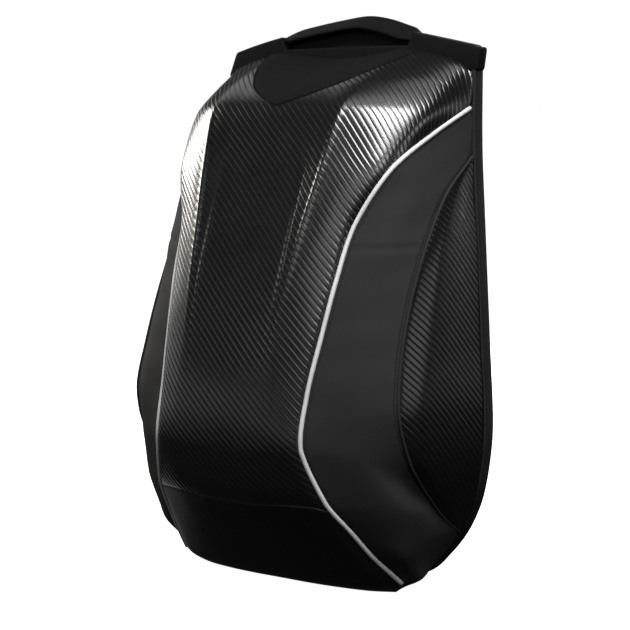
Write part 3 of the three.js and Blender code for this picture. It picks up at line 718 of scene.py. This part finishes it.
side, rear = side_panel_grid(), rear_panel_grid()
PANELS = (("side_gusset", side, SIDE, "side_fabric", "side_panel"),
          ("rear_gusset", rear, WEAVE_REAR, "side_weave", "rear_side_panel"))
cord_shape = rounded(CORD_THICK, CORD_THICK, radius=2.05, corner=5)
for hand, sign in HANDS.items():
    path = cord_path * (sign, 1, 1)
    piece(sweep(f"piping_cord_{hand}", path, *frames(path, X_AXIS), cord_shape, CORD),
          "piping", f"piping_{hand}")
    for name, grid, material, slot, node in PANELS:
        grid, uv = sided(grid, sign), sided(panel_uv(grid), sign)
        piece(grid_object(f"{name}_{hand}", grid, uv, material, PANEL_WALL), slot, f"{node}_{hand}")

welt_path = level_lines(REAR_LINES)[0][0] + WELT_LIFT * normals_of(rear)[:, WELT_COLUMN]
welt_shape = rounded(WELT_THICK, WELT_THICK, radius=1.25)
for hand, sign in HANDS.items():
    path = welt_path * (sign, 1, 1)
    piece(sweep(f"seam_welt_{hand}", path, *frames(path, Y_AXIS), welt_shape, SIDE), "side_fabric")


# Bound edge round the back

# The upper left corner of the back is drawn in: heights over which it leans, the half width there,
# and how far the bound edge and the back sheet lean
LEAN_FROM, LEAN_FULL, LEAN_HALF = 425.0, 475.0, 149.0
TAPE_LEAN, SHEET_LEAN = 6.5, 9.5
# The tape's ends lie inside the strip along the top, [x, z].
TAPE_TOP = [(149, 445), (149, 468)]
# Thickness of the tape, its width along Y and the place of its middle
TAPE_THICK, TAPE_WIDTH, TAPE_MIDDLE = 4.4, 13.4, -6.1
# A point inside the outline, and the rounds that smooth it
OUTLINE_CENTRE, OUTLINE_ROUNDS = (0, 0, 240), 6


def leaned(outline, reach):
    """Points [x, z] of the back's outline with its upper left corner drawn in."""
    rise = np.clip((outline[:, 1] - LEAN_FROM) / (LEAN_FULL - LEAN_FROM), 0, 1)
    share = np.clip(-outline[:, 0] / LEAN_HALF, 0, 1) ** 2
    return outline + np.stack([reach * rise ** 2 * (3 - 2 * rise) * share, 0 * rise], -1)


half_outline = curve([(0, 0), (OUTLINE_BOTTOM, 0), *OUTLINE_SIDE, *TAPE_TOP], step=3.0)
outline = np.concatenate([(half_outline * (-1, 1))[::-1], half_outline[1:]])
for _ in range(OUTLINE_ROUNDS):
    outline[1:-1] = 0.5 * outline[1:-1] + 0.25 * (outline[:-2] + outline[2:])
edge_path = upright(leaned(outline, TAPE_LEAN), TAPE_MIDDLE)
tape_side = np.broadcast_to(Y_AXIS, edge_path.shape)
tape_up = np.cross(tape_side, unit(np.gradient(edge_path, axis=0)))
tape_out = tape_up * np.sign((tape_up * (edge_path - OUTLINE_CENTRE)).sum(1))[:, None]
tape_path = edge_path - tape_out * (TAPE_THICK / 2)
tape_path[:, 2] = np.maximum(tape_path[:, 2], TAPE_THICK / 2)
tape_shape = rounded(TAPE_WIDTH, TAPE_THICK, radius=1.5)
piece(sweep("edge_tape", tape_path, tape_side, tape_up, tape_shape, TAPE), "tape", "edge_binding")


# Standing strip along the top with its two horns

# Right half of its upper edge, [x, z], where the third and fourth points are the side of the horn
STRIP_CROWN = np.array([(0, 487), (40, 487), (74, 486.5), (79, 498.5), (92, 496), (146, 485), (149, 483)])
STRIP_BOTTOM, STRIP_DEPTH, STRIP_CORNER, STRIP_STEPS = 462.0, 14.4, 2.4, 149
# Where each end lies, left and right, and how round it is
STRIP_ENDS, STRIP_ROUND, ROUND_STEPS = {-1: 143.0, 1: 154.5}, 3.0, 6
# From where the ends lean in, how far for each millimetre of height, and the height that keeps its place
LEAN_START, STRIP_LEANS = 100.0, {-1: (0.45, 471.0), 1: (0.16, 485.0)}


def strip_ring(x):
    """Outline of the strip at a place along it, drawn in where its ends are rounded."""
    sign = -1 if x < 0 else 1
    tall = np.interp(abs(x), *STRIP_CROWN.T) - STRIP_BOTTOM
    past = max(0.0, abs(x) - (STRIP_ENDS[sign] - STRIP_ROUND)) / STRIP_ROUND
    inset = STRIP_ROUND * (1 - math.sqrt(max(0.0, 1 - past * past)))
    shape = np.array(rounded(STRIP_DEPTH - 2 * inset, tall - 2 * inset, STRIP_CORNER))
    height = shape[:, 1] + STRIP_BOTTOM + tall / 2
    lean, level_height = STRIP_LEANS[sign]
    lean *= (max(0.0, abs(x) - LEAN_START) / (STRIP_ENDS[sign] - LEAN_START)) ** 2
    return np.stack([x + lean * (height - level_height), shape[:, 0] + TAPE_MIDDLE, height], -1)


end_turn = STRIP_ROUND * np.sin(np.linspace(0, math.pi / 2, ROUND_STEPS))[1:]
horn = STRIP_CROWN[2:4, 0]
strip_left, strip_right = STRIP_ROUND - STRIP_ENDS[-1], STRIP_ENDS[1] - STRIP_ROUND
strip_x = np.sort(np.concatenate([np.linspace(strip_left, strip_right, STRIP_STEPS), -horn, horn,
                                  strip_left - end_turn, strip_right + end_turn]))
piece(tube("top_strip", np.array([strip_ring(x) for x in strip_x]), TOP_TAPE_PAINTED_SHADE), "tape", "edge_binding")


# Carry handle

# Its middle line from the left end to the right one
HANDLE = [(-84, -5, 494), (-72, -3, 498.3), (-46, -2, 503), (-20, -2, 506.5), (14, -2, 509.5), (38, -2, 506),
          (58, -2, 500), (74, -3, 495), (84, -5, 491.5)]
# Distances from the middle between which it narrows, and its widths there
HANDLE_NARROWS, HANDLE_WIDTHS = (66, 82), (26, 11)
HANDLE_THICK, HANDLE_TILT = 3.4, math.radians(25)

handle_path = curve(HANDLE, step=2.5)
handle_across, handle_up = frames(handle_path, (0.0, math.cos(HANDLE_TILT), math.sin(HANDLE_TILT)))
handle_width = np.interp(np.abs(handle_path[:, 0]), HANDLE_NARROWS, HANDLE_WIDTHS)
handle_shapes = [rounded(width, HANDLE_THICK, radius=1.5) for width in handle_width]
piece(sweep("handle_band", handle_path, handle_across, handle_up, handle_shapes, TOP_TAPE_PAINTED_SHADE),
      "tape", "carry_handle")


# Sheet that closes the back

# Its top behind the handle on the right side and on the left side, [x, z]
SHEET_CROWN = [(0, 504.5), (30, 503), (60, 498.4), (70, 495.2), (78, 492.6), (92, 482.5), (140, 482.5)]
SHEET_CROWN_LEFT = [(0, 504.5), (30, 503), (46, 501.5), (60, 499.4), (72, 497.2), (80, 494.5), (92, 482.5),
                    (140, 482.5)]
SHEET_INSET, SHEET_TOP, SHEET_FRONT, SHEET_DEPTH = 1.5, 482.5, 0.3, 2.2
# Its rounded edge: how far in from the outline, and how far from the nearer face
SHEET_EDGE = ((0.8, 0.0), (0.2, 0.3), (0.0, 0.8))
# Upper corner of the outline: how far down it starts, a point on its turn, and how far in it ends
CORNER_DOWN, CORNER_TURN, CORNER_IN = 6.0, (1.2, 1.8), 6.0


def outline_half(inset, top, crown):
    """Right half of the back's outline moved in by inset, from the bottom up to the middle, [x, z]."""
    moved = [(x - inset, z + inset * max(0.0, 1 - z / OUTLINE_BELLY)) for x, z in OUTLINE_SIDE]
    kept = [p for p in moved if p[1] < top - 2 * CORNER_DOWN]
    right = curve([(OUTLINE_BOTTOM - inset, inset), *kept, (moved[-1][0], top - CORNER_DOWN)], step=4.0)
    corner_x = right[-1, 0]
    corner = [(corner_x - CORNER_TURN[0], top - CORNER_TURN[1]), (corner_x - CORNER_IN, top)]
    upper = [p for p in reversed(crown) if p[0] < corner_x - CORNER_IN - 1]
    return np.array([*right, *corner, *upper], float)


sheet_right, sheet_left = (outline_half(SHEET_INSET, SHEET_TOP, crown)
                           for crown in (SHEET_CROWN, SHEET_CROWN_LEFT))
sheet_outline = leaned(np.concatenate([sheet_right, (sheet_left * (-1, 1))[-2::-1]]), SHEET_LEAN)
sheet_away = unit(sheet_outline - sheet_outline.mean(0))
sheet_edges = [*SHEET_EDGE, *[(inset, SHEET_DEPTH - y) for inset, y in SHEET_EDGE[::-1]]]
sheet_rings = np.array([upright(sheet_outline - sheet_away * inset, SHEET_FRONT + y)
                        for inset, y in sheet_edges])
piece(tube("back_sheet", sheet_rings, BACK_CLOTH, sheet_rings.reshape(-1, 3)[:, ::2]),
      "back_fabric", "back_panel")


# Padded back

PAD_INSET, PAD_TOP, PAD_FRONT, PAD_DEPTH = 19, 437, 3.6, 7.0
PAD_ROWS, PAD_COLUMNS = 84, 49
# Rim of the pad: heights at its ends and the shares of its depth there, where the even rows start,
# the share at its sides, and how far in it has its depth
RIM_HEIGHTS, RIM_SHARES, RIM_END = np.array((0.0, 0.8, 2.4)), (0.35, 0.75, 1.0), 6
RIM_SIDE, RIM_TURN = 0.35, 3.0
# Cloth simulation: pressure, frames, and how far a point may move; then the room that the pad has
PAD_PRESSURE, PAD_FRAMES, PAD_CAP, PAD_ROOM = 4.0, 20, 6.0, (2.9, 17.0)


def cushion_rings(half, front, depth):
    """Level rings of a flat cushion with a rounded rim, from the right half of its outline."""
    low_end, high_end = half[0, 1], half[-1, 1]
    even_rows = np.linspace(low_end + RIM_END, high_end - RIM_END, PAD_ROWS)
    heights = np.concatenate([low_end + RIM_HEIGHTS, even_rows, high_end - RIM_HEIGHTS[::-1]])
    across = np.linspace(-1, 1, PAD_COLUMNS)
    rings = []
    for z in heights:
        width = np.interp(z, half[:, 1], half[:, 0])
        slim = np.interp(min(z - low_end, high_end - z), RIM_HEIGHTS, RIM_SHARES)
        near = np.clip((1 - np.abs(across)) * width / RIM_TURN, 0, 1)
        thick = depth * slim * (RIM_SIDE + (1 - RIM_SIDE) * np.sqrt(1 - (1 - near) ** 2))
        level = np.full(PAD_COLUMNS, z)
        face, rear_face = (np.stack([across * width, front + depth / 2 + part * thick / 2, level], -1)
                           for part in (1, -1))
        rings.append(np.concatenate([face, rear_face[::-1]]))
    return np.array(rings)


def inflated(obj, pressure, frame_count, cap):
    """Points of the piece swollen by a short cloth simulation, none moving further than the cap."""
    points = np.array([v.co for v in obj.data.vertices])
    simulated = obj.modifiers.new("cloth", "CLOTH")
    simulated.settings.use_pressure = True
    simulated.settings.uniform_pressure_force = pressure
    simulated.settings.effector_weights.gravity = 0
    simulated.point_cache.frame_start = 1
    simulated.point_cache.frame_end = frame_count
    for number in range(1, frame_count + 1):
        bpy.context.scene.frame_set(number)
    held = obj.evaluated_get(bpy.context.evaluated_depsgraph_get())
    moved = np.array([v.co for v in held.to_mesh().vertices])
    held.to_mesh_clear()
    obj.modifiers.remove(simulated)
    bpy.context.scene.frame_set(1)
    step = moved - points
    length = np.maximum(np.linalg.norm(step, axis=1, keepdims=True), 1e-9)
    points = points + step * np.minimum(1, cap * MM / length)
    return points


pad = tube("back_cushion", cushion_rings(outline_half(PAD_INSET, PAD_TOP, []), PAD_FRONT, PAD_DEPTH), MESH)
pad_points = inflated(pad, PAD_PRESSURE, PAD_FRAMES, PAD_CAP)
pad_points[:, 1] = np.clip(pad_points[:, 1], *[(BASE_CENTRE + y) * MM for y in PAD_ROOM])
pad.data.vertices.foreach_set("co", pad_points.astype(np.float32).ravel())
pad.data.shade_smooth()
even = pad.modifiers.new("even", "SMOOTH")
even.factor, even.iterations = 0.5, 4
pad.modifiers.new("round", "SUBSURF").render_levels = 1
piece(pad, "back_fabric", "back_pad")


# Shoulder straps with their hems, webbing and adjusters

# Middle line of the right strap, from its root to the adjuster
STRAP = [(55, 7.2, 474), (55.5, 9.5, 462), (57, 22, 440), (60, 35, 405), (67, 43, 345),
         (77, 44, 275), (88, 38, 205), (95, 31, 160)]
STRAP_WIDTH, STRAP_THICK, STRAP_SWELL = 62.0, 9.0, 0.12
# Radius of its corners: at most, and for each share of its full thickness
STRAP_ROUND, STRAP_ROUND_SHARE = 4.2, 4.4
# Share of the thickness at each end, and the length over which a whole one would be gained
ROOT_SHARE, ROOT_LENGTH, END_SHARE, END_LENGTH = 0.45, 40.0, 0.5, 30.0
# Hem along each edge: distance from the middle, width before it is squeezed, and thickness
HEM_PLACE, HEM_WIDTH, HEM_SQUEEZE, HEM_THICK = 30.4, 3.4, 0.9, 7.4
# Webbing: its size, its lift over the strap's end, how far below that end its first points lie,
# its sewn end, and the last step to it
WEB_WIDTH, WEB_THICK, WEB_LIFT, WEB_STARTS = 25, 2.0, 3.8, (6, 34)
WEB_END, WEB_LEAD = (112, 14, 58), (-1, 0.6, 14)
# Adjuster: width, height and corner radius of its frame and slots, how far down their middles lie,
# half its thickness inside the rounded edge, that edge, and its gap from the strap
BUCKLE_FRAME, BUCKLE_SLOT = (34.4, 28.4, 4), (27.6, 5.6, 1.2)
FRAME_DOWN, SLOTS_DOWN = 15, (7, 23)
BUCKLE_HALF, BUCKLE_EDGE, BUCKLE_GAP = 1.7, 0.8, 0.3

strap_path = curve(STRAP, step=4.0)
strap_across, strap_up = frames(strap_path, X_AXIS)
strap_length = arc(strap_path[:, None], 0)[:, 0]


def strap_thin(s):
    """Share of its full thickness that the strap has at lengths along it."""
    return np.minimum(1.0, np.minimum(ROOT_SHARE + s / ROOT_LENGTH,
                                      END_SHARE + (strap_length[-1] - s) / END_LENGTH))


def strap_swell(place):
    """How much thicker the strap is than at its edges, at sideways places."""
    return 1.0 + STRAP_SWELL * np.cos(np.clip(place / (STRAP_WIDTH / 2), -1, 1) * math.pi / 2)


def strap_shape(thin):
    radius = min(STRAP_ROUND, STRAP_ROUND_SHARE * thin)
    shape = np.array(rounded(STRAP_WIDTH, STRAP_THICK * thin, radius, corner=5))
    shape[:, 1] *= strap_swell(shape[:, 0])
    return shape


strap_shapes = np.array([strap_shape(thin) for thin in strap_thin(strap_length)])
hem_shape = np.array(rounded(HEM_WIDTH, HEM_THICK, radius=1.6)) * (HEM_SQUEEZE, 1)
strap_end = np.array(STRAP[-1], float)
strap_down = unit(strap_path[-1] - strap_path[-2])
strap_rear = unit(np.cross(X_AXIS, strap_down))
strap_side = np.cross(strap_down, strap_rear)
web_root = strap_end + strap_rear * WEB_LIFT
web_end = np.array(WEB_END, float)
web_starts = [web_root + down * strap_down for down in WEB_STARTS]
web_path = curve([*web_starts, web_end + WEB_LEAD, web_end], step=3.0)
web_across, web_up = frames(web_path, X_AXIS)
web_shape = rounded(WEB_WIDTH, WEB_THICK, radius=0.9, corner=3)


def adjuster_mesh():
    """Points and faces of the right ladder adjuster: a rounded frame with two slots."""
    data = bpy.data.curves.new("adjuster_outline", "CURVE")
    data.dimensions = "2D"
    data.fill_mode = "BOTH"
    data.extrude = BUCKLE_HALF * MM
    data.bevel_depth = BUCKLE_EDGE * MM
    data.bevel_resolution = 2
    loops = [(rounded(*BUCKLE_FRAME, corner=5), FRAME_DOWN)]
    loops += [(rounded(*BUCKLE_SLOT, corner=3), down) for down in SLOTS_DOWN]
    for points, down in loops:
        spline = data.splines.new("POLY")
        spline.points.add(len(points) - 1)
        for p, (x, y) in zip(spline.points, points):
            p.co = (x * MM, (y - down) * MM, 0, 1)
        spline.use_cyclic_u = True
    source = bpy.data.objects.new("adjuster_outline", data)
    bpy.context.scene.collection.objects.link(source)
    held = source.evaluated_get(bpy.context.evaluated_depsgraph_get())
    mesh = bpy.data.meshes.new_from_object(held)
    bpy.data.objects.remove(source)
    points = np.array([v.co for v in mesh.vertices]) / MM
    placed = (strap_end + BUCKLE_GAP * strap_down + points[:, :1] * strap_side + points[:, 2:] * strap_rear
              - points[:, 1:2] * strap_down)
    return placed, [tuple(face.vertices) for face in mesh.polygons]


adjuster_points, adjuster_faces = adjuster_mesh()
for hand, sign in HANDS.items():
    mirror = np.array((sign, 1, 1))
    across, up = strap_across * mirror, strap_up * mirror
    strap = sweep(f"strap_pad_{hand}", strap_path * mirror, across, up, strap_shapes, MESH)
    piece(strap, "strap_fabric", f"shoulder_strap_{hand}")
    for edge, place in (("inner", -HEM_PLACE), ("outer", HEM_PLACE)):
        line = (strap_path + strap_across * place) * mirror
        piece(sweep(f"strap_hem_{edge}_{hand}", line, across, up, hem_shape, TAPE), "tape")
    web = sweep(f"lower_webbing_{hand}", web_path * mirror, web_across * mirror, web_up * mirror,
                web_shape, WEBBING)
    piece(web, "webbing", f"strap_webbing_{hand}")
    placed = adjuster_points * mirror
    adjuster = mesh_object(f"adjuster_{hand}", placed, turned_out(placed, adjuster_faces), None, PLASTIC,
                           smooth=False)
    piece(adjuster, "plastic", f"strap_buckle_{hand}")


# Thread

# Pitch, length and radius of the stitches
PANEL_STITCH, TAPE_STITCH, STRAP_STITCH = (3.6, 2.5, 0.32), (3.4, 2.4, 0.3), (3.8, 2.7, 0.45)
# Rings of one stitch: place along its length and share of its radius
STITCH_RINGS, STITCH_SIDES = ((-0.5, 0.35), (-0.36, 1.0), (0.0, 1.15), (0.36, 1.0), (0.5, 0.35)), 6
# Distances of the rows from the seams of the side panel and the shell and from the edges of the handle
SIDE_BACK_ROW, SIDE_FRONT_ROW, SHELL_ROW, HANDLE_ROW = 4.2, 4.6, 5.0, 1.8
# Heights above which rows start, steps of the shell's grid above its toe, and the row's place on the tape
SIDE_ROW_FOOT, TAPE_ROW_FOOT, TOE_LEAD, TAPE_ROW = 14, 8, 2, -4.2
# Rows along the straps, at a distance from the middle, and across their upper ends, at lengths
STRAP_ROW, STRAP_CROSS, CROSS_STEPS = 25.5, (16.0, 22.0), 24


def inset_path(grid, distance, last):
    """Line on the grid at a distance from its last or first column, with its normals."""
    order = -1 if last else 1
    work, normals = grid[:, ::order], normals_of(grid)[:, ::order]
    lengths = arc(work, 1)
    return np.array([[sampled(row, s, distance) for row, s in zip(grid_rows, lengths)]
                     for grid_rows in (work, normals)])


def stitch_row(path, normals, pitch, length, radius):
    """Points and faces of a row of thread stitches lying along a path."""
    lengths = arc(path[:, None], 0)[:, 0]
    one_stitch = closed_faces(len(STITCH_RINGS), STITCH_SIDES)
    points, faces = [], []
    for middle in np.arange(pitch, lengths[-1] - pitch, pitch):
        centre = sampled(path, lengths, middle)
        along = unit(sampled(path, lengths, middle + 0.5) - centre)
        up = unit(sampled(normals, lengths, middle))
        across = np.cross(up, along)
        faces += [tuple(len(points) + i for i in face) for face in one_stitch]
        for place, share in STITCH_RINGS:
            for k in range(STITCH_SIDES):
                angle = 2 * math.pi * k / STITCH_SIDES
                points.append(centre + along * place * length
                              + radius * share * (math.cos(angle) * across + math.sin(angle) * up))
    return points, faces


def stitches(name, rows, material):
    """One piece of thread from several rows, each the result of stitch_row."""
    points, faces = [], []
    for row_points, row_faces in rows:
        faces += [tuple(i + len(points) for i in face) for face in row_faces]
        points += row_points
    return mesh_object(name, points, faces, None, material)


def strap_skin(place, s, face):
    """Points on a face of the right strap, at sideways places and lengths, and the directions out of it."""
    place, s = np.broadcast_arrays(place, s)
    middle, across, up = (sampled(line, strap_length, s) for line in (strap_path, strap_across, strap_up))
    lift = STRAP_THICK / 2 * strap_thin(s) * strap_swell(place) * face
    return middle + across * place[:, None] + up * lift[:, None], up * face


rows = []
for sign in HANDS.values():
    for distance, last in ((SIDE_BACK_ROW, sign > 0), (SIDE_FRONT_ROW, sign < 0)):
        path, normal = inset_path(sided(side, sign), distance, last)
        keep = path[:, 2] > SIDE_ROW_FOOT
        rows.append(stitch_row(path[keep], normal[keep], *PANEL_STITCH))
for last in (True, False):
    path, normal = inset_path(shell, SHELL_ROW, last)[:, row_at["toe"] + TOE_LEAD:]
    rows.append(stitch_row(path, normal, *PANEL_STITCH))
piece(stitches("panel_stitches", rows, THREAD), "tape")

rows = []
for sign in (-1, 1):
    path = handle_path + handle_across * sign * (handle_width / 2 - HANDLE_ROW)[:, None]
    for face in (1, -1):
        rows.append(stitch_row(path + handle_up * (HANDLE_THICK / 2) * face, handle_up * face, *TAPE_STITCH))
path = tape_path + tape_side * TAPE_ROW + tape_out * (TAPE_THICK / 2)
for sign in (-1, 1):
    keep = (tape_path[:, 2] > TAPE_ROW_FOOT) & (tape_path[:, 0] * sign > 0)
    rows.append(stitch_row(path[keep], tape_out[keep], *TAPE_STITCH))
piece(stitches("tape_stitches", rows, THREAD), "tape")

rows = []
for sign in HANDS.values():
    mirror = (sign, 1, 1)
    for face in (1, -1):
        lines = [strap_skin(place, strap_length[2:-2], face) for place in (-STRAP_ROW, STRAP_ROW)]
        places = np.linspace(-STRAP_ROW, STRAP_ROW, CROSS_STEPS)
        lines += [strap_skin(places, s, face) for s in STRAP_CROSS]
        rows += [stitch_row(path * mirror, normal * mirror, *STRAP_STITCH) for path, normal in lines]
piece(stitches("strap_stitches", rows, STRAP_THREAD), "strap_fabric")


# Studio, in metres

# Overhead light: azimuth and elevation, strength, and how wide it looks in degrees
SUN_PLACE, SUN_STRENGTH, SUN_SPREAD = (40, 72), 1.3, 50
# Points that the softboxes are turned to
BAG, LEFT_TOE = (0, -0.05, 0.28), (-0.085, -0.095, 0.06)
RIGHT_SHOULDER, LEFT_SHOULDER = (0.12, -0.03, 0.42), (-0.09, -0.06, 0.38)
RIGHT_FLANK, RIGHT_RIDGE = (0.105, -0.07, 0.37), (0.07, -0.075, 0.38)
# Softboxes: azimuth, elevation, distance from the point they face, size, what a mirror would show of them,
# and that point
SOFTBOXES = {
    "key_box": (40, 54, 0.95, (0.48, 0.42), 43.0, RIGHT_SHOULDER),
    "left_box": (-94, 17, 1.05, (0.40, 0.36), 21.0, LEFT_SHOULDER),
    "flank_box": (24, 20, 0.9, (0.6, 0.26), 2.6, RIGHT_FLANK),
    "ridge_box": (-22, 20, 0.9, (0.16, 0.12), 8.0, RIGHT_RIDGE),
    "edge_box": (56, 22, 0.9, (0.36, 0.26), 11.0, RIGHT_FLANK),
    "front_fill": (-4, 38, 2.0, (0.9, 0.6), 0.5, BAG),
    "top_fill": (-116, 40, 2.0, (0.7, 0.7), 0.8, BAG),
    "right_fill": (101, 6, 1.6, (0.6, 0.3), 5.0, BAG),
    "floor_bounce": (-112, -22, 0.5, (0.14, 0.12), 0.6, LEFT_TOE),
    "back_fill": (190, 16, 2.2, (1.2, 0.8), 30.0, BAG),
}
TINTS = {"left_box": (1.0, 0.97, 0.88)}
# Glow of the studio's walls at sines of the elevation: a pale band round the horizon, dark below and above
WALL_GLOW = [(-0.03, 0.03), (-0.01, 1.0), (0.085, 1.0), (0.13, 0.03)]
WALL_REACH = 0.2
FLOOR_HALF = 400


def direction(azimuth, elevation):
    """Unit vector from the bag towards an azimuth and elevation in degrees."""
    a, e = math.radians(azimuth), math.radians(elevation)
    return Vector((math.sin(a) * math.cos(e), -math.cos(a) * math.cos(e), math.sin(e)))


def stood(name, data, towards, location=(0, 0, 0)):
    """Light or camera at a location that looks back along a direction."""
    obj = bpy.data.objects.new(name, data)
    obj.location = location
    obj.rotation_mode = "QUATERNION"
    obj.rotation_quaternion = towards.to_track_quat("Z", "Y")
    bpy.context.scene.collection.objects.link(obj)
    return obj


sun = bpy.data.lights.new("overhead", "SUN")
sun.energy = SUN_STRENGTH
sun.angle = math.radians(SUN_SPREAD)
stood("overhead", sun, direction(*SUN_PLACE))
for name, (azimuth, elevation, distance, size, radiance, aim) in SOFTBOXES.items():
    box = bpy.data.lights.new(name, "AREA")
    box.shape = "RECTANGLE"
    box.size, box.size_y = size
    box.energy = radiance * math.pi * size[0] * size[1]
    box.color = TINTS.get(name, (1, 1, 1))
    towards = direction(azimuth, elevation)
    stood(name, box, towards, Vector(aim) + towards * distance).visible_camera = False

# Studio walls
world = bpy.data.worlds.new("studio")
world.use_nodes = True
sky = world.node_tree
place = sky.nodes.new("ShaderNodeTexCoord")
split = sky.nodes.new("ShaderNodeSeparateXYZ")
height = sky.nodes.new("ShaderNodeMapRange")
height.inputs["From Min"].default_value = -WALL_REACH
height.inputs["From Max"].default_value = WALL_REACH
ramp = sky.nodes.new("ShaderNodeValToRGB")
for i, (sine, level) in enumerate(WALL_GLOW):
    stop = ramp.color_ramp.elements[i] if i < 2 else ramp.color_ramp.elements.new(1.0)
    stop.position = (sine / WALL_REACH + 1) / 2
    stop.color = (*grey(level), 1)
sky.links.new(place.outputs["Generated"], split.inputs[0])
sky.links.new(split.outputs["Z"], height.inputs["Value"])
sky.links.new(height.outputs["Result"], ramp.inputs["Fac"])
sky.links.new(ramp.outputs["Color"], sky.nodes["Background"].inputs["Color"])
bpy.context.scene.world = world

floor_mesh = bpy.data.meshes.new("floor")
floor_corners = [(x * FLOOR_HALF, y * FLOOR_HALF, 0) for x, y in ((-1, -1), (1, -1), (1, 1), (-1, 1))]
floor_mesh.from_pydata(floor_corners, [], [(0, 1, 2, 3)])
floor_mesh.materials.append(studio_floor("pale_floor"))
floor = bpy.data.objects.new("floor", floor_mesh)
bpy.context.scene.collection.objects.link(floor)
# The floor shows but throws no light back on the bag, and lets the bounce light under it through.
floor.visible_diffuse = False
floor.visible_glossy = False
floor.visible_shadow = False

camera_data = bpy.data.cameras.new("camera")
camera_data.sensor_width = SENSOR_WIDTH
camera_data.lens = FOCAL_PIXELS / IMAGE_PIXELS * SENSOR_WIDTH
towards = direction(CAMERA_AZIMUTH, CAMERA_ELEVATION)
camera_place = Vector(to_row(CAMERA_TARGET)) + towards * CAMERA_DISTANCE * MM
bpy.context.scene.camera = stood("camera", camera_data, towards, camera_place)
bpy.context.scene.view_settings.view_transform = "Standard"
